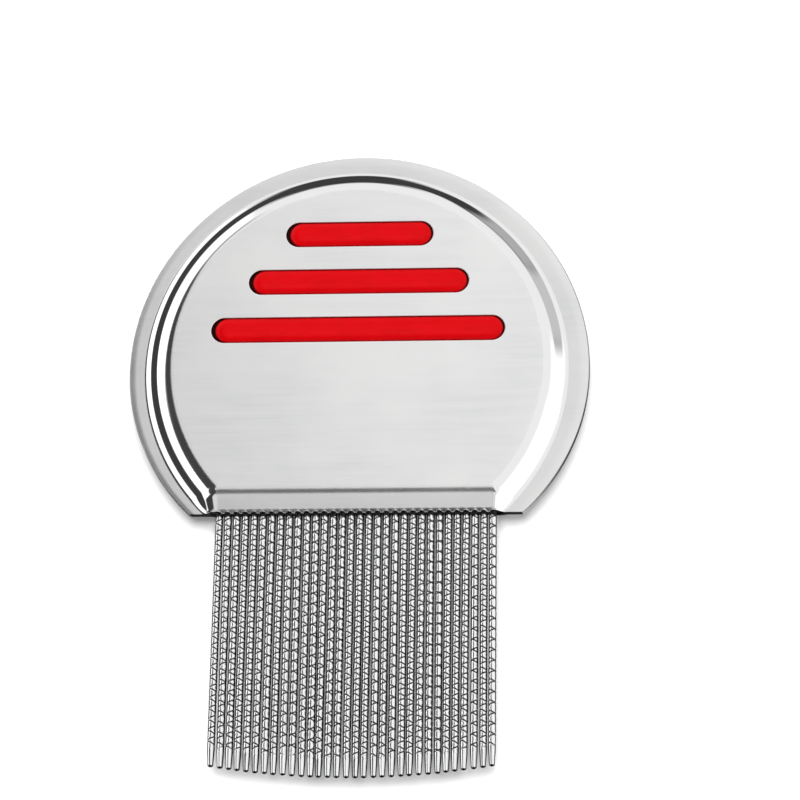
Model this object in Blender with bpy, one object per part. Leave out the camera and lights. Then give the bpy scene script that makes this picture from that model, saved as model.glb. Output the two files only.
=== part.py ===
"""Flea comb: two pressed steel shells, a moulded grip core and a row of steel pin teeth.

The comb lies on its back.  +Z is the outward normal of the front shell, +Y points from the
teeth to the top of the handle, and X runs across the handle.  The origin is the middle of
the whole comb in X and Y, at the height of the surface that it lies on.
"""
import math
import random

import bmesh
import bpy

# Driving dimensions, in millimetres
MM = 0.001
OVERALL_WIDTH = 69.85          # 2 3/4 in across the handle
OVERALL_LENGTH = 98.4          # 3 7/8 in from the top of the handle to the longest tips
SHEET = 0.5                    # thickness of the pressed steel
SHELL_GAP = 0.3                # clearance between the two flat rims
PANEL_HEIGHT = 3.7             # outer face of the raised panel above the middle plane
RIB_HEIGHT = 4.1               # crown of a grip rib above the middle plane

# Plan of the handle: three nested contours, each given by its inset at the widest point
# and by the place where its lower end stops
EAR_Y = -8.9                   # straight lower edge of both shells
CREASE_Y = -6.3                # fold between the raised panel and the sloping strip
EAR_X = 24.95
FLANGE_WIDTH = 2.7
FOOT_END_X = 22.6
FORM_SHIFT = -0.45             # the raised form sits this far off the trimmed outline
RIM_WIDTH = 6.95               # flat rim and raised wall together
PANEL_END_X = 20.65
LOWER_STEPS = 14
UPPER_STEPS = 18
STRIP_SIDE_REACH = 0.12        # share of a lower arc that lies beside the strip

# Rings of the raised wall between its foot and the panel: share of its width and height
WALL_RINGS = ((0.25, 0.22), (0.45, 0.62), (0.7, 0.90))

# Teeth
TOOTH_COUNT = 32
TOOTH_PITCH = 1.32
TOOTH_RADIUS = 0.5
TOOTH_ROOT_Y = 0.4             # inner end, between the shells
TOOTH_SIDES = 10
TIP_TAPER = 3.0
TIP_RINGS = ((0.35, 0.36), (0.1, 0.26), (0.0, 0.12))    # distance to the end, and radius
TIP_SAG = 1.7                  # the outer tips stop this much short of the middle ones
TIP_WANDER = 0.1               # small scatter of the tips
SCATTER_SEED = 7

# Lip of each shell where it is crimped over the teeth
LIP_CLEARANCE = 0.45
LIP_SCALLOP = 0.3              # half the height of the corrugation
LIP_LENGTH = 0.3               # level end of the strip
CRIMP_LENGTH = 0.6             # the corrugation starts this far up the strip
CRIMP_AT_KNEE = 0.6            # share of the corrugation where the level end starts
LIP_STEPS = 4                  # mesh steps in one tooth pitch

# Grip ribs and their slots
SLOT_HEIGHT = 4.0
SLOT_TOP_Y = 35.0
SLOT_PITCH = 7.8
SLOT_TOP_WIDTH = 22.5
SLOT_GROWTH = 11.0             # each slot is this much wider than the one above it
SLOT_COUNT = 3
RIB_CLEARANCE = 0.15
RIB_CHAMFER = 0.45
COLLAR_MARGIN = 1.3            # the core bears on the shells around each slot
CORE_GAP = 0.3
CORE_INSET = 0.6               # side clearance between the core and the raised wall
CORE_END_SHARE = 0.4           # the core's lower corners take their width from this share
CORE_LOWER_Y = 2.0
CORE_PLATE_HALF = 1.2
ARC_STEPS = 10

# Derived dimensions
TOP_Y = OVERALL_LENGTH / 2
HANDLE_RADIUS = OVERALL_WIDTH / 2
CENTRE_Y = TOP_Y - HANDLE_RADIUS
FLANGE_HEIGHT = SHELL_GAP / 2 + SHEET
LIP_HEIGHT = TOOTH_RADIUS + LIP_CLEARANCE + SHEET
STRIP_HALF_WIDTH = TOOTH_PITCH * (TOOTH_COUNT - 1) / 2
REST_HEIGHT = RIB_HEIGHT       # the rear ribs stand on the surface below


def clear_scene():
    for item in list(bpy.data.objects):
        bpy.data.objects.remove(item, do_unlink=True)


def make_material(name, color, roughness, metallic):
    material = bpy.data.materials.new(name)
    material.use_nodes = True
    shader = material.node_tree.nodes["Principled BSDF"]
    shader.inputs["Base Color"].default_value = (*color, 1.0)
    shader.inputs["Roughness"].default_value = roughness
    shader.inputs["Metallic"].default_value = metallic
    return material


def make_object(name, points, faces, material):
    """One mesh object from points in millimetres, lifted so that the comb rests on Z = 0."""
    mesh = bpy.data.meshes.new(name)
    mesh.from_pydata([[value * MM for value in point] for point in points], [], faces)
    mesh.validate()
    mesh.materials.append(material)
    item = bpy.data.objects.new(name, mesh)
    item.location.z = REST_HEIGHT * MM
    bpy.context.scene.collection.objects.link(item)
    return item


def contour_half(inset, end_x, end_y, share):
    """A point on the right half of a nested contour.

    share runs from 0 at the lower end to 1 at the widest point and 2 at the top.  The
    upper part is an arc about the middle of the handle, and the lower part an arc that
    leaves it without a corner and passes through the lower end.
    """
    radius = HANDLE_RADIUS - inset
    if share >= 1:
        angle = (share - 1) * math.pi / 2
        return radius * math.cos(angle), CENTRE_Y + radius * math.sin(angle)
    run = radius - end_x
    drop = CENTRE_Y - end_y
    lower = (run * run + drop * drop) / (2 * run)
    angle = (share - 1) * math.asin(drop / lower)
    return radius - lower + lower * math.cos(angle), CENTRE_Y + lower * math.sin(angle)


def contour(inset, end_x, end_y, shares, shift=0.0):
    """The whole contour, from its right lower end over the top to its left lower end."""
    right = [contour_half(inset, end_x, end_y, share) for share in shares]
    left = [(-x, y) for x, y in reversed(right[:-1])]
    return [(x + shift, y) for x, y in right + left]


def strip_rows():
    """Rows of the sloping strip: Y, height, and share of the full corrugation."""
    knee_y = EAR_Y + LIP_LENGTH
    rows = []
    for y, crimp in ((CREASE_Y, 0.0), (EAR_Y + CRIMP_LENGTH, 0.0),
                     (knee_y, CRIMP_AT_KNEE), (EAR_Y, 1.0)):
        down = min(1.0, (CREASE_Y - y) / (CREASE_Y - knee_y))
        rows.append((y, PANEL_HEIGHT + (LIP_HEIGHT - PANEL_HEIGHT) * down, crimp))
    return rows


def strip_point(column, row):
    """A point of the strip, which folds over each tooth near the lip."""
    y, height, crimp = row
    x = (column / LIP_STEPS) * TOOTH_PITCH - STRIP_HALF_WIDTH
    wave = math.cos(2 * math.pi * column / LIP_STEPS) - 1
    return x, y, height + LIP_SCALLOP * crimp * wave


def shell_surface():
    """Outer face of a shell: flat rim, raised wall, panel, sloping strip and lip."""
    rows = strip_rows()
    last_row = len(rows) - 1
    beside = [STRIP_SIDE_REACH * step / last_row for step in range(last_row)]
    climb = [step / LOWER_STEPS for step in range(LOWER_STEPS)]
    crown = [1 + step / UPPER_STEPS for step in range(UPPER_STEPS + 1)]
    arc = [STRIP_SIDE_REACH + (1 - STRIP_SIDE_REACH) * step for step in climb]
    outer = contour(0.0, EAR_X, EAR_Y, beside + arc + crown)
    foot = contour(FLANGE_WIDTH, FOOT_END_X, EAR_Y, beside + arc + crown, FORM_SHIFT)
    rim = contour(RIM_WIDTH, PANEL_END_X, CREASE_Y, climb + crown)

    points = []
    faces = []

    def add(point):
        points.append(point)
        return len(points) - 1

    columns = LIP_STEPS * (TOOTH_COUNT - 1) + 1
    grid = [[add(strip_point(column, row)) for column in range(columns)] for row in rows]
    for upper, lower in zip(grid, grid[1:]):
        for column in range(columns - 1):
            faces.append((upper[column], lower[column], lower[column + 1], upper[column + 1]))

    right_side = [row[-1] for row in reversed(grid)]
    left_side = [row[0] for row in grid]
    panel = [add((x, y, PANEL_HEIGHT)) for x, y in rim[1:-1]]
    inner = right_side + panel + left_side
    rings = [[add((x, y, FLANGE_HEIGHT)) for x, y in outer],
             [add((x, y, FLANGE_HEIGHT)) for x, y in foot]]
    for along, rise in WALL_RINGS:
        ring = []
        for (x, y), target in zip(foot, inner):
            end = points[target]
            height = FLANGE_HEIGHT + (end[2] - FLANGE_HEIGHT) * rise
            ring.append(add((x + (end[0] - x) * along, y + (end[1] - y) * along, height)))
        rings.append(ring)
    rings.append(inner)
    for ring, following in zip(rings, rings[1:]):
        for step in range(len(ring) - 1):
            faces.append((ring[step], ring[step + 1], following[step + 1], following[step]))
    faces.append(tuple(panel + grid[0]))
    return points, faces


def stadium(width, height, middle_y):
    """Outline of a slot with round ends, counter-clockwise."""
    radius = height / 2
    points = []
    for side, start in ((1, -math.pi / 2), (-1, math.pi / 2)):
        for step in range(ARC_STEPS + 1):
            angle = start + math.pi * step / ARC_STEPS
            x = side * (width / 2 - radius) + radius * math.cos(angle)
            points.append((x, middle_y + radius * math.sin(angle)))
    return points


def loft(sections):
    """A closed solid through outlines of equal length, each given with its height."""
    points = []
    faces = []
    count = len(sections[0][0])
    for outline, height in sections:
        points += [(x, y, height) for x, y in outline]
    for level in range(len(sections) - 1):
        base = level * count
        for step in range(count):
            after = (step + 1) % count
            faces.append((base + step, base + after, base + count + after, base + count + step))
    faces.append(tuple(reversed(range(count))))
    faces.append(tuple(range(len(points) - count, len(points))))
    return points, faces


def merge(solids):
    """Several solids in one list of points and faces."""
    points = []
    faces = []
    for solid_points, solid_faces in solids:
        base = len(points)
        points += solid_points
        faces += [tuple(base + index for index in face) for face in solid_faces]
    return points, faces


def slot_places():
    """Width and middle of each slot, from the top one down."""
    return [(SLOT_TOP_WIDTH + SLOT_GROWTH * slot, SLOT_TOP_Y - SLOT_PITCH * slot)
            for slot in range(SLOT_COUNT)]


def make_slot_cutter(material):
    depth = 2 * RIB_HEIGHT
    prisms = [loft([(stadium(width, SLOT_HEIGHT, y), height) for height in (-depth, depth)])
              for width, y in slot_places()]
    cutter = make_object("slot_cutter", *merge(prisms), material)
    cutter.hide_render = True
    cutter.display_type = "WIRE"
    return cutter


def add_boolean(item, cutter, operation):
    boolean = item.modifiers.new(cutter.name, "BOOLEAN")
    boolean.operation = operation
    boolean.object = cutter


def make_shell(name, cutter, material, turned_over):
    shell = make_object(name, *shell_surface(), material)
    if turned_over:
        shell.rotation_euler.y = math.pi
    solidify = shell.modifiers.new("sheet", "SOLIDIFY")
    solidify.thickness = SHEET * MM
    solidify.offset = -1.0
    solidify.use_even_offset = True
    add_boolean(shell, cutter, "DIFFERENCE")
    return shell


def rib_sections(width, middle_y):
    """A rib that passes through both shells, with a chamfered crown at each end."""
    sections = []
    for height, trim in ((RIB_HEIGHT, RIB_CHAMFER), (PANEL_HEIGHT, 0.0)):
        cut = 2 * (RIB_CLEARANCE + trim)
        sections.append((stadium(width - cut, SLOT_HEIGHT - cut, middle_y), height))
    lower = [(outline, -height) for outline, height in sections]
    return lower + sections[::-1]


def core_plate_outline():
    """Plan of the core: the panel's own outline, drawn in and cut straight below."""
    inset = RIM_WIDTH + CORE_INSET
    shares = [step / LOWER_STEPS for step in range(LOWER_STEPS)]
    shares += [1 + step / UPPER_STEPS for step in range(UPPER_STEPS + 1)]
    end_x, _ = contour_half(RIM_WIDTH, PANEL_END_X, CREASE_Y, CORE_END_SHARE)
    return contour(inset, end_x - CORE_INSET, CORE_LOWER_Y, shares)


def make_core(material):
    """Moulded core: a plate between the shells, a collar behind each slot, and the ribs."""
    collar_half = PANEL_HEIGHT - SHEET - CORE_GAP
    outline = core_plate_outline()
    plate = loft([(outline, -CORE_PLATE_HALF), (outline, CORE_PLATE_HALF)])
    core = make_object("grip_core", *plate, material)
    for index, (width, y) in enumerate(slot_places(), start=1):
        margin = 2 * COLLAR_MARGIN
        collar = stadium(width + margin, SLOT_HEIGHT + margin, y)
        block = loft([(collar, -collar_half), (collar, collar_half)])
        for label, solid in (("collar", block), ("rib", loft(rib_sections(width, y)))):
            tool = make_object("core_%s_%d" % (label, index), *solid, material)
            tool.hide_render = True
            tool.display_type = "WIRE"
            add_boolean(core, tool, "UNION")
    return core


def tooth_stations(tip_y):
    """Y and radius of the rings along a tooth, from its root to its rounded tip."""
    straight = [(TOOTH_ROOT_Y, TOOTH_RADIUS),
                (EAR_Y, TOOTH_RADIUS),
                (tip_y + TIP_TAPER, TOOTH_RADIUS)]
    return straight + [(tip_y + left, radius) for left, radius in TIP_RINGS]


def make_tooth(index, scatter, material):
    """One pin, straight from its place under the lip to a slightly scattered tip."""
    x = (index - (TOOTH_COUNT - 1) / 2) * TOOTH_PITCH
    tip_y = TOP_Y - OVERALL_LENGTH + TIP_SAG * (x / STRIP_HALF_WIDTH) ** 2
    drift_x = scatter.uniform(-TIP_WANDER, TIP_WANDER)
    drift_z = scatter.uniform(-TIP_WANDER, TIP_WANDER)
    free_length = EAR_Y - tip_y
    points = []
    stations = tooth_stations(tip_y)
    for y, radius in stations:
        lean = max(0.0, (EAR_Y - y) / free_length)
        for side in range(TOOTH_SIDES):
            angle = 2 * math.pi * side / TOOTH_SIDES
            points.append((x + drift_x * lean + radius * math.cos(angle), y,
                           drift_z * lean + radius * math.sin(angle)))
    faces = []
    for level in range(len(stations) - 1):
        base = level * TOOTH_SIDES
        for side in range(TOOTH_SIDES):
            after = (side + 1) % TOOTH_SIDES
            faces.append((base + side, base + after, base + TOOTH_SIDES + after,
                          base + TOOTH_SIDES + side))
    faces.append(tuple(reversed(range(TOOTH_SIDES))))
    faces.append(tuple(range(len(points) - TOOTH_SIDES, len(points))))
    return make_object("tooth_%02d" % (index + 1), points, faces, material)


def recalculate_normals(item):
    mesh = bmesh.new()
    mesh.from_mesh(item.data)
    bmesh.ops.recalc_face_normals(mesh, faces=mesh.faces)
    mesh.to_mesh(item.data)
    mesh.free()


def build():
    clear_scene()
    sheet_steel = make_material("brushed_steel", (0.72, 0.72, 0.72), 0.32, 1.0)
    pin_steel = make_material("pin_steel", (0.70, 0.70, 0.71), 0.18, 1.0)
    red_plastic = make_material("red_plastic", (0.78, 0.012, 0.014), 0.3, 0.0)

    cutter = make_slot_cutter(sheet_steel)
    make_shell("front_shell", cutter, sheet_steel, turned_over=False)
    make_shell("rear_shell", cutter, sheet_steel, turned_over=True)
    make_core(red_plastic)
    scatter = random.Random(SCATTER_SEED)
    for index in range(TOOTH_COUNT):
        tooth = make_tooth(index, scatter, pin_steel)
        recalculate_normals(tooth)
        tooth.data.shade_smooth()


build()
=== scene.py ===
import math
import random

import bmesh
import bpy
from mathutils import Matrix, Vector


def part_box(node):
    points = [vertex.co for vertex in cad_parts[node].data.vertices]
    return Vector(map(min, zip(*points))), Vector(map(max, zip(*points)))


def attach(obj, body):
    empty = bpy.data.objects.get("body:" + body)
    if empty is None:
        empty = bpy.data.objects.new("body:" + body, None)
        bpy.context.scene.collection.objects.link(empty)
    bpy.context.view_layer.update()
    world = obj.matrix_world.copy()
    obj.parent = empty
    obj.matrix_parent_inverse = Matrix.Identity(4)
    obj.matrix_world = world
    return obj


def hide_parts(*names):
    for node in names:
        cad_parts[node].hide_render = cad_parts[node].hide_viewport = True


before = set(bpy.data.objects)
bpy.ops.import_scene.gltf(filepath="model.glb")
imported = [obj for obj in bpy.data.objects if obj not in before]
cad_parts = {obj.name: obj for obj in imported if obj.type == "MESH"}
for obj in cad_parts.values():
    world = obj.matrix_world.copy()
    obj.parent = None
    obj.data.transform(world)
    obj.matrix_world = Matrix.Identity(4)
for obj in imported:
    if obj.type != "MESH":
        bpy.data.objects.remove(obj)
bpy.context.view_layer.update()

# The comb lies on its back, +Y to the top of the handle and +Z out of its front.  The
# sizes below are in millimetres.  X and Y are the frame's own, and heights are counted
# from the middle plane between the two shells.
MM = 0.001
MM_PER_METRE = 1000.0
FRONT_LOW, FRONT_HIGH = (Vector(corner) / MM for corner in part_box("front_shell"))
REAR_LOW, REAR_HIGH = (Vector(corner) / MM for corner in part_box("rear_shell"))
_, CORE_HIGH = (Vector(corner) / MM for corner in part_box("grip_core"))
TEETH = sorted(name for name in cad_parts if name.startswith("tooth_"))

MIDDLE_Z = (FRONT_HIGH.z + REAR_LOW.z) / 2
TOP_Y = FRONT_HIGH.y
EAR_Y = FRONT_LOW.y
HANDLE_RADIUS = (FRONT_HIGH.x - FRONT_LOW.x) / 2
CENTRE_Y = TOP_Y - HANDLE_RADIUS
PANEL_HEIGHT = FRONT_HIGH.z - MIDDLE_Z
RIB_HEIGHT = CORE_HIGH.z - MIDDLE_Z
SHELL_GAP = FRONT_LOW.z - REAR_HIGH.z
SHEET = 0.5
FLANGE_HEIGHT = SHELL_GAP / 2 + SHEET

# Plan of the pressed form, as in the frame
CREASE_Y = EAR_Y + 2.6
EAR_X = 24.95
FLANGE_WIDTH = 2.7
FOOT_END_X = 22.6
FORM_SHIFT = -0.45
RIM_WIDTH = 6.95
PANEL_END_X = 20.65
STRIP_SIDE_REACH = 0.12

# Teeth and lip
TOOTH_RADIUS = 0.5
PIN_RADIUS = 0.57              # drawn a little fuller than the solid
TIP_TAPER = 3.0
LIP_CLEARANCE = 0.45
LIP_SCALLOP = 0.35
LIP_RECESS = 0.15
LIP_LENGTH = 0.03
CRIMP_LENGTH = 0.45
CREASE_RADIUS = 2.0
KNEE_RADIUS = 0.01
LIP_HEIGHT = TOOTH_RADIUS + LIP_CLEARANCE + SHEET
LIP_POLISH = 0.5               # share of the wall's polish on the crimped lip
STRIP_LEAD = 0.9               # the strip's mesh starts this far above the crease
STRIP_SPACING = 0.12           # longest stretch between two of its rows
STRIP_CORNER_STEPS = 8
CREASE_POLISH = 0.25           # share of the wall's polish along the crease
CREASE_POLISH_DROP = 0.1       # its middle lies this far below the crease's corner
CREASE_POLISH_INNER = 0.3      # it is even this far from its middle
CREASE_POLISH_OUTER = 0.8      # and gone this far from it

# Slope of the raised wall at shares of its width, from the foot up
WALL_SLOPES = ((0.0, 0.0), (0.03, 0.1), (0.07, 0.4), (0.11, 0.65), (0.2, 0.72),
               (0.26, 1.3), (0.36, 1.6), (0.44, 1.3), (0.5, 0.85), (0.6, 0.65),
               (0.74, 0.42), (0.85, 0.26), (0.96, 0.08), (1.0, 0.0))

# The same for the right-hand side, whose face is nearly straight, and the bearings
# between which one profile turns into the other
PLAIN_SLOPES = ((0.0, 0.0), (0.05, 0.4), (0.16, 0.62), (0.24, 0.98), (0.48, 1.0),
                (0.58, 0.78), (0.72, 0.55), (0.86, 0.3), (0.96, 0.1), (1.0, 0.0))
PLAIN_BEARING = math.radians(45)
STEPPED_BEARING = math.radians(72)

# Rolled-over outer edge of the flat rim: share of its width, and how far it has dropped
EDGE_ROLL = ((0.0, 0.18), (0.012, 0.09), (0.03, 0.03), (0.055, 0.0))
RIM_RINGS = EDGE_ROLL + ((0.5, 0.0), (0.98, 0.0))     # the same, with its level part
EDGE_POLISH = 0.3

# Painted shade: the rim's outer edge is drawn dark along the sides, from nothing to full
# between these shares of the handle's half width
EDGE_SHADE = (0.6, 0.95)

# The wall's polish comes in and goes out between these shares of its width
POLISH_IN = (-0.05, 0.06)
POLISH_OUT = (0.9, 1.0)

# Width of the level band just inside the panel's border
PANEL_BORDER = 0.3

# Slots and ribs
SLOT_HEIGHT = 4.0
SLOT_TOP_Y = 35.0
SLOT_PITCH = 7.8
SLOT_TOP_WIDTH = 22.5
SLOT_GROWTH = 11.0
SLOT_COUNT = 3
RIB_CLEARANCE = 0.06
RIB_END_GAP = 0.38             # more of the slot is left open at each end of a rib
RIB_SHIFT = 0.16               # the ribs sit a little to the right in their slots
RIB_CROWN_RISE = 0.75
RIB_CROWN_RUN = 1.5
SLOT_EDGE = ((0.5, 0.0, 0.0), (0.16, 0.0, 0.0), (0.1, 0.0, 0.5), (0.05, 0.015, 0.5),
             (0.015, 0.05, 0.5), (0.0, 0.12, 0.4))
COLLAR_MARGIN = 1.3
CORE_GAP = 0.3
CORE_INSET = 0.6
CORE_LOWER_Y = 2.0
CORE_PLATE_HALF = 1.2
CORE_END_SHARE = 0.4           # its lower end is as wide as the panel, so far up its side

# Fineness of the meshes
LOWER_STEPS = 70
UPPER_STEPS = 90
WALL_STEPS = 40
LIP_STEPS = 12
SLOT_STEPS = 24
CORE_LOWER_STEPS = 24
CORE_UPPER_STEPS = 40
RIB_CROWN_STEPS = 9

# Corners sharper than these are shaded as corners
SHELL_CORNER = math.radians(50)
CORE_CORNER = math.radians(35)

# Painted shade: brushed steel is drawn this much darker at the far left and on the flat rim
LEFT_SHADE = 0.93
LEFT_SHADE_X = -34.0            # fully darker here, and not at all at the comb's middle
RIM_SHADE = 0.9
RIM_SHADE_HEIGHTS = (1.0, 2.5)  # darker below the first of these, and not above the second

# Painted shade: the red core is drawn dark inside its slots, up to the first of these
# heights, and not above the second
SLOT_SHADE_HEIGHTS = (2.9, 3.4)

# Studio, in metres and watts
FLOOR_HALF = 3.0
BACKDROP_RADIUS = 2.8
KEY_DISTANCE = 0.57
KEY_LEAN = math.radians(5)
KEY_SIZE = 0.4
KEY_POWER = 4.0
FLOOR_GLOW = 0.02

# Camera: how far it stands from the comb's middle, and how it leans off square
CAMERA_DISTANCE = 500.0
CAMERA_TOWARD_TEETH = math.radians(19.6)
CAMERA_TOWARD_RIGHT = math.radians(4.8)
CAMERA_ROLL = math.radians(0.5)
PHOTO_SCALE = 6.664            # image dots per millimetre at the comb's middle
PHOTO_SIDE = 800
PHOTO_CENTRE_X = 6.44          # the picture's middle lies here, right of the comb's own
PHOTO_CENTRE_Y = 8.72          # and above it
SENSOR = 36.0


# ---------------------------------------------------------------- mesh helpers

def lift(point, turned_over=False):
    """From millimetres about the middle plane to the frame's metres."""
    x, y, z = point
    if turned_over:
        x, z = -x, -z
    return Vector((x, y, z + MIDDLE_Z)) * MM


def new_object(name, mesh, material):
    mesh.materials.append(material)
    item = bpy.data.objects.new(name, mesh)
    bpy.context.scene.collection.objects.link(item)
    return item


def mesh_from(name, points, faces, turned_over=False):
    mesh = bpy.data.meshes.new(name)
    mesh.from_pydata([lift(point, turned_over) for point in points], [], faces)
    mesh.update()
    return mesh


def paint(mesh, name, values):
    """A value from 0 to 1 at each point, for the materials to read."""
    attribute = mesh.attributes.new(name, "FLOAT", "POINT")
    attribute.data.foreach_set("value", values)


def settle(piece, slot_name, *nodes):
    """The piece rides on the comb and stands for the CAD nodes that it refines."""
    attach(piece, "root")
    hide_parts(*nodes)


def smooth_ramp(value, low, high):
    share = min(1.0, max(0.0, (value - low) / (high - low)))
    return share * share * (3 - 2 * share)


# ---------------------------------------------------------------- shells

def contour_half(inset, end_x, end_y, share):
    """Right half of a nested contour: 0 is its lower end, 1 the widest point, 2 the top."""
    radius = HANDLE_RADIUS - inset
    if share >= 1:
        angle = (share - 1) * math.pi / 2
        return radius * math.cos(angle), CENTRE_Y + radius * math.sin(angle)
    run = radius - end_x
    drop = CENTRE_Y - end_y
    lower = (run * run + drop * drop) / (2 * run)
    angle = (share - 1) * math.asin(drop / lower)
    return radius - lower + lower * math.cos(angle), CENTRE_Y + lower * math.sin(angle)


def contour(inset, end_x, end_y, shares, shift=0.0):
    right = [contour_half(inset, end_x, end_y, share) for share in shares]
    left = [(-x, y) for x, y in reversed(right[:-1])]
    return [(x + shift, y) for x, y in right + left]


def rounded_path(corners, radii, steps):
    """A polyline in Y and Z whose inner corners are rounded to the given radii."""
    path = [corners[0]]
    for before, corner, after, radius in zip(corners, corners[1:], corners[2:], radii):
        into = (Vector(before) - Vector(corner)).normalized()
        out = (Vector(after) - Vector(corner)).normalized()
        half = into.angle(out) / 2
        reach = radius / math.tan(half)
        start = Vector(corner) + into * reach
        end = Vector(corner) + out * reach
        for step in range(steps + 1):
            share = step / steps
            near = start.lerp(Vector(corner), share)
            far = Vector(corner).lerp(end, share)
            path.append(tuple(near.lerp(far, share)))
    path.append(corners[-1])
    return path


def divided(path, longest):
    """The same path with more points, so that no stretch of it is longer than this."""
    points = [path[0]]
    for start, end in zip(path, path[1:]):
        parts = max(1, math.ceil((Vector(end) - Vector(start)).length / longest))
        for part in range(1, parts + 1):
            points.append(tuple(Vector(start).lerp(Vector(end), part / parts)))
    return points


def strip_rows():
    """Y, height, share of the crimp and polish, from the panel over the crease to the lip."""
    knee = (EAR_Y + LIP_LENGTH, LIP_HEIGHT)
    corners = [(CREASE_Y + STRIP_LEAD, PANEL_HEIGHT), (CREASE_Y, PANEL_HEIGHT), knee,
               (EAR_Y, LIP_HEIGHT)]
    path = rounded_path(corners, (CREASE_RADIUS, KNEE_RADIUS), STRIP_CORNER_STEPS)
    rows = []
    for y, z in divided(path, STRIP_SPACING):
        crimp = smooth_ramp(EAR_Y + CRIMP_LENGTH - y, 0.0, CRIMP_LENGTH)
        off = abs(y - CREASE_Y + CREASE_POLISH_DROP)
        polish = CREASE_POLISH * (1 - smooth_ramp(off, CREASE_POLISH_INNER, CREASE_POLISH_OUTER))
        rows.append((y, z, crimp, polish))
    return rows


def wall_profile(slopes):
    """How far up the raised wall is at each step across it, from its foot to the panel."""
    heights = [0.0]
    for step in range(WALL_STEPS):
        heights.append(heights[-1] + wall_slope(slopes, (step + 0.5) / WALL_STEPS))
    return [height / heights[-1] for height in heights]


def wall_slope(slopes, share):
    for (start, low), (end, high) in zip(slopes, slopes[1:]):
        if share <= end:
            return low + (high - low) * smooth_ramp(share, start, end)
    return slopes[-1][1]


def stepped_share(x, y):
    """1 where the wall has its steep step, on the left and over the top, 0 at the right."""
    bearing = math.atan2(y - CENTRE_Y, x)
    if x < 0:
        return 1.0
    return smooth_ramp(bearing, PLAIN_BEARING, STEPPED_BEARING)


def stadium(width, height, middle_y):
    radius = height / 2
    points = []
    for side, start in ((1, -math.pi / 2), (-1, math.pi / 2)):
        for step in range(SLOT_STEPS + 1):
            angle = start + math.pi * step / SLOT_STEPS
            x = side * (width / 2 - radius) + radius * math.cos(angle)
            points.append((x, middle_y + radius * math.sin(angle)))
    return points


def slot_places():
    return [(SLOT_TOP_WIDTH + SLOT_GROWTH * slot, SLOT_TOP_Y - SLOT_PITCH * slot)
            for slot in range(SLOT_COUNT)]


class Sheet:
    """The outer face of a shell while it is being drawn: points, faces, polish and painted
    shade.
    """

    def __init__(self):
        self.points = []
        self.faces = []
        self.polish = []
        self.painted_shade = []

    def add(self, point, polish=0.0, painted_shade=0.0):
        self.points.append(point)
        self.polish.append(polish)
        self.painted_shade.append(painted_shade)
        return len(self.points) - 1

    def join(self, ring, following, closed=False):
        count = len(ring)
        for step in range(count if closed else count - 1):
            after = (step + 1) % count
            self.faces.append((ring[step], ring[after], following[after], following[step]))


def draw_strip(sheet, pitch, count):
    """Crease, sloping strip and the lip that is crimped over every tooth."""
    columns = LIP_STEPS * (count - 1) + 1
    half = pitch * (count - 1) / 2
    grid = []
    for y, height, crimp, polish in strip_rows():
        row = []
        for column in range(columns):
            x = column * pitch / LIP_STEPS - half
            wave = (math.cos(2 * math.pi * column / LIP_STEPS) - 1) / 2
            back = y + LIP_RECESS * crimp * (1 + wave)
            rise = height + 2 * LIP_SCALLOP * crimp * wave
            row.append(sheet.add((x, back, rise), max(polish, LIP_POLISH * crimp)))
        grid.append(row)
    for upper, lower in zip(grid, grid[1:]):
        sheet.join(upper, lower)
    return grid


def wall_outlines(sheet, grid):
    """Plan of the rim's outer edge and of the wall's foot, and the ring at the wall's top."""
    side = [sheet.points[row[-1]][1] for row in reversed(grid)]
    side_length = side[-1] - side[0]
    beside = [STRIP_SIDE_REACH * (y - side[0]) / side_length for y in side[:-1]]
    climb = [step / LOWER_STEPS for step in range(LOWER_STEPS)]
    crown = [1 + step / UPPER_STEPS for step in range(UPPER_STEPS + 1)]
    arc = [STRIP_SIDE_REACH + (1 - STRIP_SIDE_REACH) * step for step in climb]
    outer = contour(0.0, EAR_X, EAR_Y, beside + arc + crown)
    foot = contour(FLANGE_WIDTH, FOOT_END_X, EAR_Y, beside + arc + crown, FORM_SHIFT)
    end_x, start_y, _ = sheet.points[grid[0][-1]]
    rim = contour(RIM_WIDTH, end_x, start_y, climb + crown)
    panel = [sheet.add((x, y, PANEL_HEIGHT), 0.0) for x, y in rim[1:-1]]
    return outer, foot, panel


def rim_rings(sheet, outer, foot):
    """Rings across the flat rim, from its rolled outer edge to the wall's foot."""
    rings = []
    for share, drop in RIM_RINGS:
        ring = []
        for (x0, y0), (x1, y1) in zip(outer, foot):
            point = (x0 + (x1 - x0) * share, y0 + (y1 - y0) * share, FLANGE_HEIGHT - drop)
            # painted shade: the rim's outer edge is drawn dark along both sides
            flank = smooth_ramp(abs(x0) / HANDLE_RADIUS, *EDGE_SHADE)
            painted_shade = flank * (1 - smooth_ramp(share, EDGE_ROLL[1][0], EDGE_ROLL[-1][0]))
            ring.append(sheet.add(point, EDGE_POLISH if drop else 0.0, painted_shade))
        rings.append(ring)
    return rings


def wall_rings(sheet, foot, inner):
    """Rings up the raised wall, from its foot to just short of the ring at its top."""
    stepped = wall_profile(WALL_SLOPES)
    plain = wall_profile(PLAIN_SLOPES)
    rings = []
    for step in range(WALL_STEPS):
        along = step / WALL_STEPS
        polish = smooth_ramp(along, *POLISH_IN) * (1 - smooth_ramp(along, *POLISH_OUT))
        ring = []
        for (x, y), target in zip(foot, inner):
            end_x, end_y, end_z = sheet.points[target]
            share = stepped_share(x, y)
            rise = plain[step] + (stepped[step] - plain[step]) * share
            height = FLANGE_HEIGHT + (end_z - FLANGE_HEIGHT) * rise
            point = (x + (end_x - x) * along, y + (end_y - y) * along, height)
            ring.append(sheet.add(point, polish))
        rings.append(ring)
    return rings


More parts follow.
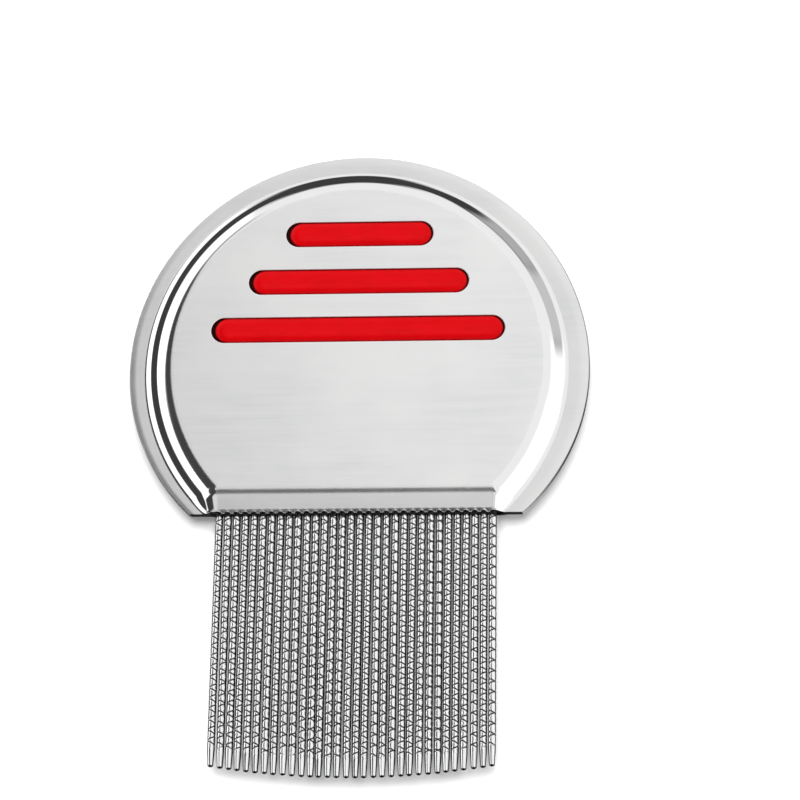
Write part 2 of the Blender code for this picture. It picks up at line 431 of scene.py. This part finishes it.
def draw_wall(sheet, grid):
    """Flat rim and raised wall around the panel and down both sides of the strip."""
    outer, foot, panel = wall_outlines(sheet, grid)
    inner = [row[-1] for row in reversed(grid)] + panel + [row[0] for row in grid]
    rings = rim_rings(sheet, outer, foot) + wall_rings(sheet, foot, inner) + [inner]
    for ring, following in zip(rings, rings[1:]):
        sheet.join(ring, following)
    return panel


def draw_panel_border(sheet, panel, grid):
    """A narrow flat band just inside the panel, so that its shading stays level."""
    loop = panel + grid[0]
    middle = Vector((0.0, CENTRE_Y))
    inside = []
    for index in loop:
        x, y, z = sheet.points[index]
        toward = (middle - Vector((x, y))).normalized() * PANEL_BORDER
        inside.append(sheet.add((x + toward.x, y + toward.y, z), 0.0))
    sheet.join(loop, inside, closed=True)
    return inside


def draw_slot(sheet, width, middle_y):
    """The rolled edge of one slot, as rings from the level panel down into the slot."""
    rings = []
    for spread, drop, polish in SLOT_EDGE:
        outline = stadium(width + 2 * spread, SLOT_HEIGHT + 2 * spread, middle_y)
        rings.append([sheet.add((x, y, PANEL_HEIGHT - drop), polish) for x, y in outline])
    for ring, following in zip(rings, rings[1:]):
        sheet.join(ring, following, closed=True)
    return rings[0]


def fill_panel(mesh, loops):
    """Level faces between the panel's border and the slots."""
    work = bmesh.new()
    work.from_mesh(mesh)
    work.verts.ensure_lookup_table()
    edges = []
    for loop in loops:
        for first, second in zip(loop, loop[1:] + loop[:1]):
            edges.append(work.edges.get((work.verts[first], work.verts[second])))
    bmesh.ops.triangle_fill(work, use_beauty=True, use_dissolve=False, edges=edges)
    bmesh.ops.recalc_face_normals(work, faces=work.faces)
    work.to_mesh(mesh)
    work.free()


def make_shell(name, node, turned_over, material, pitch, count):
    sheet = Sheet()
    grid = draw_strip(sheet, pitch, count)
    panel = draw_wall(sheet, grid)
    loops = [draw_panel_border(sheet, panel, grid)]
    loops += [draw_slot(sheet, width, y) for width, y in slot_places()]
    mesh = mesh_from(name, sheet.points, sheet.faces, turned_over)
    paint(mesh, "polish", sheet.polish)
    paint(mesh, "painted_shade", sheet.painted_shade)
    fill_panel(mesh, loops)
    middle = sum((face.normal.z * face.area for face in mesh.polygons), 0.0)
    if (middle > 0) == turned_over:
        mesh.flip_normals()
    mesh.shade_smooth()
    shell = new_object(name, mesh, material)
    outer_count = len(mesh.vertices)
    make_solid(shell, outer_count)
    settle(shell, "shell_steel", node)
    return shell


def make_solid(shell, outer_count):
    """Gives the drawn face the sheet's thickness. The inner face is painted dark as shade, and
    the cut edges darken toward it."""
    solidify = shell.modifiers.new("sheet", "SOLIDIFY")
    solidify.thickness = SHEET * MM
    solidify.offset = -1.0
    apply_modifiers(shell)
    painted_shade = shell.data.attributes["painted_shade"].data
    for index in range(outer_count, len(painted_shade)):
        painted_shade[index].value = 1.0
    shell.data.set_sharp_from_angle(angle=SHELL_CORNER)
    # The polished wall then mirrors the studio alone, and not the pale rim beside it.
    shell.visible_glossy = False


def apply_modifiers(item):
    bpy.context.view_layer.update()
    graph = bpy.context.evaluated_depsgraph_get()
    mesh = bpy.data.meshes.new_from_object(item.evaluated_get(graph))
    item.modifiers.clear()
    item.data = mesh


# ---------------------------------------------------------------- grip core

def loft(sections):
    """A closed solid through outlines of equal length, each given with its height."""
    points = []
    faces = []
    count = len(sections[0][0])
    for outline, height in sections:
        points += [(x, y, height) for x, y in outline]
    for level in range(len(sections) - 1):
        base = level * count
        for step in range(count):
            after = (step + 1) % count
            faces.append((base + step, base + after, base + count + after,
                          base + count + step))
    faces.append(tuple(reversed(range(count))))
    faces.append(tuple(range(len(points) - count, len(points))))
    return points, faces


def rib_outline_sections(width, middle_y):
    """A rib with a soft crown: a quarter of an ellipse rolls into a level top."""
    sections = []
    for step in range(RIB_CROWN_STEPS + 1):
        angle = math.pi / 2 * step / RIB_CROWN_STEPS
        trim = RIB_CROWN_RUN * (1 - math.cos(angle))
        height = RIB_HEIGHT - RIB_CROWN_RISE * (1 - math.sin(angle))
        cut = 2 * (RIB_CLEARANCE + trim)
        length = width - 2 * RIB_END_GAP - cut
        outline = stadium(length, SLOT_HEIGHT - cut, middle_y)
        sections.append(([(x + RIB_SHIFT, y) for x, y in outline], height))
    lower = [(outline, -height) for outline, height in reversed(sections)]
    return lower + sections


def make_core(material):
    shares = [step / CORE_LOWER_STEPS for step in range(CORE_LOWER_STEPS)]
    shares += [1 + step / CORE_UPPER_STEPS for step in range(CORE_UPPER_STEPS + 1)]
    end_x, _ = contour_half(RIM_WIDTH, PANEL_END_X, CREASE_Y, CORE_END_SHARE)
    outline = contour(RIM_WIDTH + CORE_INSET, end_x - CORE_INSET, CORE_LOWER_Y, shares)
    plate = loft([(outline, -CORE_PLATE_HALF), (outline, CORE_PLATE_HALF)])
    core = new_object("grip_core_moulding", mesh_from("grip_core_moulding", *plate), material)
    collar_half = PANEL_HEIGHT - SHEET - CORE_GAP
    tools = []
    for width, y in slot_places():
        margin = 2 * COLLAR_MARGIN
        collar = stadium(width + margin, SLOT_HEIGHT + margin, y)
        solids = (loft([(collar, -collar_half), (collar, collar_half)]),
                  loft(rib_outline_sections(width, y)))
        for solid in solids:
            tool = new_object("core_tool", mesh_from("core_tool", *solid), material)
            union = core.modifiers.new("join", "BOOLEAN")
            union.operation = "UNION"
            union.object = tool
            tools.append(tool)
    apply_modifiers(core)
    for tool in tools:
        bpy.data.objects.remove(tool, do_unlink=True)
    core.data.shade_smooth()
    core.data.set_sharp_from_angle(angle=CORE_CORNER)
    settle(core, "grip_plastic", "grip_core")


# ---------------------------------------------------------------- teeth

GROOVE_PITCH = 1.59
GROOVE_DEPTH = 0.055
GROOVE_STATIONS = (0.0, 0.03, 0.055, 0.12, 0.22, 0.34, 0.5, 0.66, 0.78, 0.88, 0.945, 0.97)
GROOVE_HALF = 0.075            # half a groove's width, in turns
GROOVE_SEED = 11
GROOVE_FADE_ROOT = 0.4         # the grooves grow to full depth over this length
GROOVE_FADE_TIP = 0.6          # and fade out over this one
PLAIN_ABOVE_LIP = 0.3          # they start this far inside the lip
PLAIN_TIP = 2.8                # and end this far from the pin's end
ROOT_RING_GAP = 0.2

# Plain rings toward the end of a pin, at these distances from it
TIP_RINGS = (PLAIN_TIP - 0.3, 2.2, 1.6, 1.0, 0.6, 0.36, 0.27, 0.19, 0.12, 0.065, 0.025)
TIP_SLIMMING = 0.15
NOSE_LENGTH = 0.32

# The pins are painted dark where little light gets: in the grooves, under the lip, down
# both flanks and at the nose
SHADE_TOP = 0.3                 # the painted shade under the lip reaches this far over a pin
SHADE_FLANK = 1.0               # and this far down between two pins
SHADE_BLUR = 0.12
FLANK_FROM = (0.6, 0.8)        # the flanks darken between these shares of the radius
FLANK_LIGHTENING = 0.25        # they are this much lighter toward the tip
FLANK_LIGHTENS = (9.0, 4.0)    # from the first of these distances from the end to the second
NOSE_DARK = (0.12, 0.3)        # full this near the end, and gone this far from it


def tooth_axis(node):
    """Root and tip of a CAD tooth, in millimetres, read from its own solid."""
    spots = [vertex.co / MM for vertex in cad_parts[node].data.vertices]
    ends = []
    for pick in (max, min):
        end_y = pick(spot.y for spot in spots)
        ring = [spot for spot in spots if abs(spot.y - end_y) < 0.01]
        ends.append(sum(ring, Vector()) / len(ring))
    for end in ends:
        end.z -= MIDDLE_Z
    return ends


def lattice_value(step):
    turns, place = divmod(step, len(GROOVE_STATIONS))
    return turns + GROOVE_STATIONS[place]


def groove(value):
    """Depth of a groove, from 0 to 1, at a distance from its line in turns."""
    off = abs(value - round(value))
    return max(0.0, 1 - (off / GROOVE_HALF) ** 2)


def tip_radius(left):
    """Radius of a tooth with this much of it left before its end."""
    slim = PIN_RADIUS - TIP_SLIMMING * smooth_ramp(TIP_TAPER - left, 0.0, TIP_TAPER)
    if left < NOSE_LENGTH:
        slim *= math.sqrt(max(0.0, 1 - ((NOSE_LENGTH - left) / NOSE_LENGTH) ** 2))
    return slim


class Pin:
    """A pin with two fine spiral grooves of opposite hand, plain at its rounded tip.

    Its grooved part is a diagonal net whose lines follow both spirals."""

    def __init__(self, root, tip, bend_y, phase):
        self.root = root
        self.tip = tip
        self.bend_y = bend_y
        self.phase = phase
        self.around = len(GROOVE_STATIONS)
        self.length = root.y - tip.y
        self.plain_root = root.y - (EAR_Y + PLAIN_ABOVE_LIP)
        self.grooved = self.length - self.plain_root - PLAIN_TIP
        self.points = []
        self.faces = []
        self.dark = []
        self.index_of = {}

    def centre(self, along):
        """The pin is straight up to the lip and leans a little beyond it."""
        root, tip = self.root, self.tip
        lean = max(0.0, (self.bend_y - (root.y - along)) / (self.bend_y - tip.y))
        return root.x + (tip.x - root.x) * lean, root.y - along, (tip.z - root.z) * lean

    def darkness(self, y, along, angle, depth):
        """The darkest of the painted shades of groove, gap under the lip, flank and nose at a
        point.
        """
        reach = SHADE_FLANK + (SHADE_TOP - SHADE_FLANK) * abs(math.sin(angle)) ** 2
        edge = self.bend_y - reach
        lip_shade = smooth_ramp(y, edge - SHADE_BLUR, edge + SHADE_BLUR)
        far, near = FLANK_LIGHTENS
        flank = smooth_ramp(abs(math.cos(angle)), *FLANK_FROM)
        flank *= 1 - FLANK_LIGHTENING * smooth_ramp(along, self.length - far, self.length - near)
        nose = 1 - smooth_ramp(self.length - along, *NOSE_DARK)
        return max(depth, lip_shade, flank, nose)

    def add(self, along, angle, depth):
        x, y, z = self.centre(along)
        radius = tip_radius(self.length - along) - GROOVE_DEPTH * depth
        point = (x + radius * math.cos(angle), y, z + radius * math.sin(angle))
        self.points.append(point)
        self.dark.append(self.darkness(y, along, angle, depth))
        return len(self.points) - 1

    def lattice(self, first, second):
        """A point of the diagonal net; one turn round the pin comes back to it."""
        turn = (first - second) // (2 * self.around)
        key = (first - turn * self.around, second + turn * self.around)
        if key not in self.index_of:
            u = lattice_value(key[0])
            v = lattice_value(key[1])
            angle = math.pi * (u - v) + self.phase
            along = self.plain_root + GROOVE_PITCH * (u + v) / 2
            fade = smooth_ramp(along, self.plain_root, self.plain_root + GROOVE_FADE_ROOT)
            fade *= smooth_ramp(self.plain_root + self.grooved - along, 0.0, GROOVE_FADE_TIP)
            depth = max(groove(u), groove(v)) * fade
            self.index_of[key] = self.add(along, angle, depth)
        return self.index_of[key]

    def draw_net(self, top_step):
        for total in range(1, top_step):
            for around in range(self.around):
                first = around + (total + 1) // 2
                second = total - first
                self.faces.append((self.lattice(first, second),
                                   self.lattice(first + 1, second),
                                   self.lattice(first + 1, second + 1),
                                   self.lattice(first, second + 1)))

    def net_end(self, total):
        """Net points along a zigzag end, in order round the pin."""
        ring = []
        for around in range(self.around):
            first = around + (total + 1) // 2
            second = total - first
            ring.append(self.lattice(first, second))
            ring.append(self.lattice(first + 1, second))
        return ring

    def plain_ring(self, along, like):
        ring = []
        for index in like:
            x, y, z = self.points[index]
            mid_x, _, mid_z = self.centre(self.root.y - y)
            ring.append(self.add(along, math.atan2(z - mid_z, x - mid_x), 0.0))
        return ring

    def cap(self, rings, closing_along):
        """Faces through the rings, and from the last of them to a point on the axis."""
        for ring, following in zip(rings, rings[1:]):
            for step in range(len(ring)):
                after = (step + 1) % len(ring)
                self.faces.append((ring[step], ring[after], following[after],
                                   following[step]))
        self.points.append(self.centre(closing_along))
        self.dark.append(0.0)
        end = len(self.points) - 1
        last = rings[-1]
        for step in range(len(last)):
            self.faces.append((last[step], last[(step + 1) % len(last)], end))

    def mesh(self, name):
        top_step = int(2 * self.around * self.grooved / GROOVE_PITCH)
        self.draw_net(top_step)
        near = self.net_end(1)
        behind = self.plain_ring(self.plain_root - ROOT_RING_GAP, near)
        self.cap([near, behind, self.plain_ring(0.0, near)], 0.0)
        far = self.net_end(top_step)
        self.cap([far] + [self.plain_ring(self.length - rest, far) for rest in TIP_RINGS],
                 self.length)
        mesh = mesh_from(name, self.points, self.faces)
        work = bmesh.new()
        work.from_mesh(mesh)
        bmesh.ops.recalc_face_normals(work, faces=work.faces)
        work.to_mesh(mesh)
        work.free()
        # the groove attribute holds all of the pin's painted shade: grooves, under the lip,
        # flanks and nose
        paint(mesh, "groove", self.dark)
        mesh.shade_smooth()
        return mesh


def make_teeth(material):
    """All the pins, each on the axis of its own CAD tooth; gives the distance between them."""
    chance = random.Random(GROOVE_SEED)
    roots = []
    for node in TEETH:
        root, tip = tooth_axis(node)
        phase = chance.uniform(0, 2 * math.pi)
        name = node.replace("tooth", "pin")
        pin = new_object(name, Pin(root, tip, EAR_Y, phase).mesh(name), material)
        settle(pin, "pin_steel", node)
        roots.append(root.x)
    return (max(roots) - min(roots)) / (len(roots) - 1)


# ---------------------------------------------------------------- materials

class Nodes:
    """A material's node tree with short calls for what the materials here need."""

    def __init__(self, name):
        self.material = bpy.data.materials.new(name)
        self.material.use_nodes = True
        self.tree = self.material.node_tree
        self.shader = self.tree.nodes["Principled BSDF"]
        self.place = self.tree.nodes.new("ShaderNodeTexCoord").outputs["Object"]

    def link(self, source, target):
        if isinstance(source, (int, float)):
            target.default_value = source
        else:
            self.tree.links.new(source, target)

    def stretched(self, scale, detail=4.0, roughness=0.6, distortion=0.0):
        """Noise whose grain is scaled along X, Y and Z, counted per millimetre."""
        mapping = self.tree.nodes.new("ShaderNodeMapping")
        mapping.inputs["Scale"].default_value = [MM_PER_METRE * value for value in scale]
        self.link(self.place, mapping.inputs["Vector"])
        noise = self.tree.nodes.new("ShaderNodeTexNoise")
        noise.inputs["Scale"].default_value = 1.0
        noise.inputs["Detail"].default_value = detail
        noise.inputs["Roughness"].default_value = roughness
        noise.inputs["Distortion"].default_value = distortion
        self.link(mapping.outputs["Vector"], noise.inputs["Vector"])
        return noise.outputs["Fac"]

    def axes(self):
        """X, Y and Z of the shaded point, in metres."""
        node = self.tree.nodes.new("ShaderNodeSeparateXYZ")
        self.link(self.place, node.inputs[0])
        return node.outputs

    def scaled(self, color, factor):
        node = self.tree.nodes.new("ShaderNodeVectorMath")
        node.operation = "SCALE"
        self.link(color, node.inputs[0])
        self.link(factor, node.inputs["Scale"])
        return node.outputs[0]

    def attribute(self, name):
        node = self.tree.nodes.new("ShaderNodeAttribute")
        node.attribute_name = name
        return node.outputs["Fac"]

    def math(self, operation, first, second=0.0):
        node = self.tree.nodes.new("ShaderNodeMath")
        node.operation = operation
        self.link(first, node.inputs[0])
        self.link(second, node.inputs[1])
        return node.outputs[0]

    def ranged(self, value, low, high, out_low, out_high):
        node = self.tree.nodes.new("ShaderNodeMapRange")
        self.link(value, node.inputs["Value"])
        for name, number in (("From Min", low), ("From Max", high)):
            node.inputs[name].default_value = number
        self.link(out_low, node.inputs["To Min"])
        self.link(out_high, node.inputs["To Max"])
        return node.outputs["Result"]

    def blend_colors(self, share, first, second):
        node = self.tree.nodes.new("ShaderNodeMix")
        node.data_type = "RGBA"
        self.link(share, node.inputs[0])
        for value, socket in ((first, node.inputs[6]), (second, node.inputs[7])):
            if isinstance(value, tuple):
                socket.default_value = (*value, 1.0)
            else:
                self.link(value, socket)
        return node.outputs[2]

    def bump(self, height, strength, distance):
        node = self.tree.nodes.new("ShaderNodeBump")
        self.link(strength, node.inputs["Strength"])
        node.inputs["Distance"].default_value = distance * MM
        self.link(height, node.inputs["Height"])
        self.link(node.outputs["Normal"], self.shader.inputs["Normal"])


def shell_material():
    """Stainless sheet: straight brushing across the handle, a bright polished wall, and painted
    shade at the far left, on the flat rim, on the inner face and at the cut edges.
    """
    nodes = Nodes("brushed_sheet_steel")
    polish = nodes.attribute("polish")
    streaks = nodes.stretched((0.12, 9.0, 3.0), detail=5.0, roughness=0.7)
    broad = nodes.stretched((0.05, 0.9, 0.3), detail=3.0)
    cloud = nodes.stretched((0.06, 0.09, 0.09), detail=3.0, roughness=0.5)
    scratch = nodes.stretched((0.5, 14.0, 6.0), detail=2.0, distortion=0.6)
    tone = nodes.math("ADD", nodes.ranged(streaks, 0.3, 0.7, -0.35, 0.35),
                      nodes.ranged(broad, 0.3, 0.7, 0.1, 0.9))
    steel = nodes.blend_colors(tone, (0.78, 0.785, 0.79), (0.86, 0.86, 0.86))
    shaded = nodes.blend_colors(nodes.ranged(cloud, 0.35, 0.65, 0.0, 1.0), steel,
                                (0.88, 0.88, 0.875))
    x, _, z = nodes.axes()
    # painted shade: darker toward the far left and on the flat rim
    left = nodes.ranged(x, LEFT_SHADE_X * MM, 0.0, LEFT_SHADE, 1.0)
    level = nodes.math("ABSOLUTE", nodes.math("SUBTRACT", z, MIDDLE_Z * MM))
    low, high = RIM_SHADE_HEIGHTS
    rim = nodes.ranged(level, low * MM, high * MM, RIM_SHADE, 1.0)
    brushed_with_painted_shade = nodes.scaled(shaded, nodes.math("MULTIPLY", left, rim))
    bright = nodes.blend_colors(polish, brushed_with_painted_shade, (0.81, 0.81, 0.81))
    # painted shade: near black on the inner face, the cut edges and the rim's outer edge at the
    # sides
    nodes.link(nodes.blend_colors(nodes.attribute("painted_shade"), bright, (0.03, 0.03, 0.03)),
               nodes.shader.inputs["Base Color"])
    nodes.shader.inputs["Metallic"].default_value = 1.0
    brushed = nodes.ranged(nodes.math("ADD", streaks, scratch), 0.7, 1.3, 0.30, 0.40)
    worn = nodes.ranged(cloud, 0.3, 0.7, 0.075, 0.13)
    nodes.link(nodes.ranged(polish, 0.0, 1.0, brushed, worn), nodes.shader.inputs["Roughness"])
    rough = nodes.ranged(polish, 0.0, 1.0, 0.12, 0.015)
    nodes.bump(nodes.math("ADD", streaks, scratch), rough, 0.03)
    return nodes.material


def pin_material():
    """Drawn steel wire, darkened wherever painted shade is laid on the pin."""
    nodes = Nodes("drawn_pin_steel")
    # painted shade: grooves, the gap under the lip, the flanks and the nose are drawn near black
    depth = nodes.attribute("groove")
    drawing = nodes.stretched((9.0, 0.35, 9.0), detail=3.0)
    patch = nodes.stretched((1.2, 0.25, 1.2), detail=2.0)
    steel = nodes.blend_colors(nodes.ranged(drawing, 0.3, 0.7, 0.0, 1.0), (0.80, 0.80, 0.81),
                               (0.90, 0.90, 0.90))
    dark = nodes.blend_colors(nodes.ranged(depth, 0.05, 0.7, 0.0, 1.0), steel,
                              (0.02, 0.02, 0.022))
    nodes.link(dark, nodes.shader.inputs["Base Color"])
    nodes.shader.inputs["Metallic"].default_value = 1.0
    nodes.link(nodes.ranged(patch, 0.3, 0.7, 0.10, 0.2), nodes.shader.inputs["Roughness"])
    nodes.bump(drawing, 0.06, 0.02)
    return nodes.material


def core_material():
    """Glossy red moulding with the faint unevenness of a moulded surface and painted shade low
    in its slots.
    """
    nodes = Nodes("red_moulded_plastic")
    swirl = nodes.stretched((0.25, 0.5, 0.5), detail=3.0)
    grain = nodes.stretched((5.0, 5.0, 5.0), detail=3.0)
    red = nodes.blend_colors(nodes.ranged(swirl, 0.3, 0.7, 0.0, 1.0), (0.36, 0.0004, 0.0018),
                             (0.41, 0.0008, 0.0026))
    # painted shade: the core is drawn near black low in the slots
    level = nodes.math("ABSOLUTE", nodes.math("SUBTRACT", nodes.axes()[2], MIDDLE_Z * MM))
    low, high = SLOT_SHADE_HEIGHTS
    slot_shade = nodes.ranged(level, low * MM, high * MM, 1.0, 0.0)
    nodes.link(nodes.blend_colors(slot_shade, red, (0.01, 0.0, 0.0)),
               nodes.shader.inputs["Base Color"])
    nodes.link(nodes.ranged(grain, 0.3, 0.7, 0.27, 0.36), nodes.shader.inputs["Roughness"])
    nodes.shader.inputs["Specular IOR Level"].default_value = 0.06
    nodes.bump(grain, 0.05, 0.03)
    return nodes.material


def floor_material():
    nodes = Nodes("white_table")
    nodes.shader.inputs["Base Color"].default_value = (0.86, 0.86, 0.86, 1.0)
    nodes.shader.inputs["Roughness"].default_value = 0.9
    nodes.shader.inputs["Specular IOR Level"].default_value = 0.1
    nodes.shader.inputs["Emission Color"].default_value = (1.0, 1.0, 1.0, 1.0)
    nodes.shader.inputs["Emission Strength"].default_value = FLOOR_GLOW
    return nodes.material


# ---------------------------------------------------------------- studio

def make_floor():
    half = FLOOR_HALF
    mesh = bpy.data.meshes.new("table_top")
    corners = [(-half, -half, 0.0), (half, -half, 0.0), (half, half, 0.0), (-half, half, 0.0)]
    mesh.from_pydata(corners, [], [(0, 1, 2, 3)])
    floor = new_object("table_top", mesh, floor_material())
    floor.visible_glossy = False       # the steel mirrors the studio, not the table


def make_camera():
    """Square to the comb except for a lean toward the teeth and a little to the right."""
    lean, side, roll = CAMERA_TOWARD_TEETH, CAMERA_TOWARD_RIGHT, CAMERA_ROLL
    out = Vector((math.sin(side), -math.cos(side) * math.sin(lean),
                  math.cos(side) * math.cos(lean)))
    flat_up = Vector((0.0, math.cos(lean), math.sin(lean)))
    flat_right = flat_up.cross(out).normalized()
    up = out.cross(flat_right).normalized()
    right = flat_right * math.cos(roll) - up * math.sin(roll)
    up = up * math.cos(roll) + flat_right * math.sin(roll)
    origin = Vector((0.0, 0.0, MIDDLE_Z))
    spot = origin + out * CAMERA_DISTANCE
    target = origin + right * PHOTO_CENTRE_X + up * PHOTO_CENTRE_Y
    back = (spot - target).normalized()
    right = (right - back * right.dot(back)).normalized()
    up = back.cross(right)
    turn = Matrix((right, up, back)).transposed().to_4x4()
    data = bpy.data.cameras.new("camera")
    data.sensor_width = SENSOR
    data.lens = PHOTO_SCALE * CAMERA_DISTANCE * SENSOR / PHOTO_SIDE
    camera = bpy.data.objects.new("camera", data)
    camera.matrix_world = Matrix.Translation(spot * MM) @ turn
    bpy.context.scene.collection.objects.link(camera)
    bpy.context.scene.camera = camera


class Sky:
    """World nodes that grade the studio's light by its direction, patch by patch."""

    def __init__(self, level):
        world = bpy.data.worlds.new("studio")
        bpy.context.scene.world = world
        world.use_nodes = True
        self.tree = world.node_tree
        self.background = self.tree.nodes["Background"]
        self.background.inputs["Color"].default_value = (1.0, 1.0, 1.0, 1.0)
        direction = self.tree.nodes.new("ShaderNodeTexCoord").outputs["Generated"]
        split = self.tree.nodes.new("ShaderNodeSeparateXYZ")
        self.tree.links.new(direction, split.inputs[0])
        x, y, z = split.outputs
        degrees = 180 / math.pi
        self.polar = self.math("MULTIPLY", self.math("ARCCOSINE", z), degrees)
        self.azimuth = self.math("MULTIPLY", self.math("ARCTAN2", y, x), degrees)
        self.strength = level

    def math(self, operation, *values):
        node = self.tree.nodes.new("ShaderNodeMath")
        node.operation = operation
        for value, socket in zip(values, node.inputs):
            if isinstance(value, (int, float)):
                socket.default_value = value
            else:
                self.tree.links.new(value, socket)
        return node.outputs[0]

    def ramp(self, value, low, high):
        """0 at low, 1 at high, smooth between."""
        node = self.tree.nodes.new("ShaderNodeMapRange")
        node.interpolation_type = "SMOOTHSTEP"
        self.tree.links.new(value, node.inputs["Value"])
        node.inputs["From Min"].default_value = low
        node.inputs["From Max"].default_value = high
        return node.outputs["Result"]

    def patch(self, level, facing, spread, low, high, edge=6.0):
        """One soft-edged patch: its level, its bearing and half width, and how far down
        from the zenith it starts and ends, in degrees."""
        turn = self.math("WRAP", self.math("SUBTRACT", self.azimuth, facing), 180, -180)
        off = self.math("ABSOLUTE", turn)
        share = self.ramp(off, spread + edge / 2, spread - edge / 2)
        below = self.ramp(self.polar, low - edge / 2, low + edge / 2)
        above = self.ramp(self.polar, high + edge / 2, high - edge / 2)
        share = self.math("MULTIPLY", share, self.math("MULTIPLY", below, above))
        gap = self.math("SUBTRACT", level, self.strength)
        self.strength = self.math("ADD", self.strength, self.math("MULTIPLY", gap, share))

    def finish(self):
        self.tree.links.new(self.strength, self.background.inputs["Strength"])


# Bearings in degrees, counted from +X toward +Y
RIGHT, TOP, LEFT, FOOT = 0, 90, 180, -90
ALL_ROUND = 200


def make_studio():
    """Bright boxes left and right with dark cards around them, which the polished wall
    mirrors as bands; the room is dark below the table's level."""
    sky = Sky(1.03)
    # all that is below the table's level, a dark card high over the teeth, a grey one low
    sky.patch(0.05, RIGHT, ALL_ROUND, 96, 200, edge=6)
    sky.patch(0.15, FOOT, 42, 8, 50, edge=12)
    sky.patch(0.82, FOOT + 10, 32, 50, 98)
    # the box at the right, and the greys that follow it round to the top of the handle
    sky.patch(1.55, RIGHT - 33, 42, 68, 108)
    sky.patch(1.55, RIGHT + 16, 10, 76, 108, edge=14)
    sky.patch(0.66, RIGHT + 40, 12, 95, 135)
    sky.patch(0.5, RIGHT + 61, 9, 100, 135)
    # the box at the left, the dark card over it and a grey patch at that card's end
    sky.patch(1.6, LEFT - 8, 55, 53, 92, edge=4)
    sky.patch(0.06, LEFT + 2, 57, 17, 52, edge=5)
    sky.patch(0.4, TOP + 30, 6, 44, 53)
    # dark cards at the lower left and low behind the top of the handle
    sky.patch(0.05, FOOT - 35, 15, 8, 120)
    sky.patch(0.05, TOP + 8, 14, 87, 200, edge=12)
    sky.finish()
    bpy.context.scene.view_settings.view_transform = "Standard"


def make_key_light():
    """A soft lamp almost overhead; it leans to the handle, so shadows fall to the teeth."""
    data = bpy.data.lights.new("key", "AREA")
    data.shape = "DISK"
    data.size = KEY_SIZE
    data.energy = KEY_POWER
    lamp = bpy.data.objects.new("key", data)
    spot = Vector((0.0, math.sin(KEY_LEAN), math.cos(KEY_LEAN))) * KEY_DISTANCE
    lamp.location = spot
    lamp.rotation_euler = spot.to_track_quat("Z", "Y").to_euler()
    lamp.visible_glossy = False
    bpy.context.scene.collection.objects.link(lamp)


def make_backdrop():
    """A pale dome that only the camera sees, so that the studio's dim parts stay unseen."""
    rings, turns = 12, 48
    points = []
    faces = []
    for ring in range(rings + 1):
        rise = math.pi / 2 * (ring - 0.5) / rings
        for turn in range(turns):
            angle = 2 * math.pi * turn / turns
            spread = BACKDROP_RADIUS * math.cos(rise)
            points.append((spread * math.cos(angle), spread * math.sin(angle),
                           BACKDROP_RADIUS * math.sin(rise)))
    for ring in range(rings):
        for turn in range(turns):
            after = (turn + 1) % turns
            faces.append((ring * turns + turn, ring * turns + after,
                          (ring + 1) * turns + after, (ring + 1) * turns + turn))
    faces.append(tuple(range(rings * turns, (rings + 1) * turns)))
    mesh = bpy.data.meshes.new("backdrop")
    mesh.from_pydata(points, [], faces)
    material = bpy.data.materials.new("white_backdrop")
    material.use_nodes = True
    shader = material.node_tree.nodes["Principled BSDF"]
    shader.inputs["Base Color"].default_value = (0.0, 0.0, 0.0, 1.0)
    shader.inputs["Specular IOR Level"].default_value = 0.0
    shader.inputs["Emission Color"].default_value = (1.0, 1.0, 1.0, 1.0)
    shader.inputs["Emission Strength"].default_value = 1.0
    backdrop = new_object("backdrop", mesh, material)
    backdrop.visible_diffuse = False
    backdrop.visible_glossy = False
    backdrop.visible_transmission = False
    backdrop.visible_shadow = False


# ---------------------------------------------------------------- the comb

make_camera()
make_studio()
make_key_light()
make_floor()
make_backdrop()
pin_steel = pin_material()
tooth_pitch = make_teeth(pin_steel)
sheet_steel = shell_material()
make_shell("front_pressing", "front_shell", False, sheet_steel, tooth_pitch, len(TEETH))
make_shell("rear_pressing", "rear_shell", True, sheet_steel, tooth_pitch, len(TEETH))
make_core(core_material())
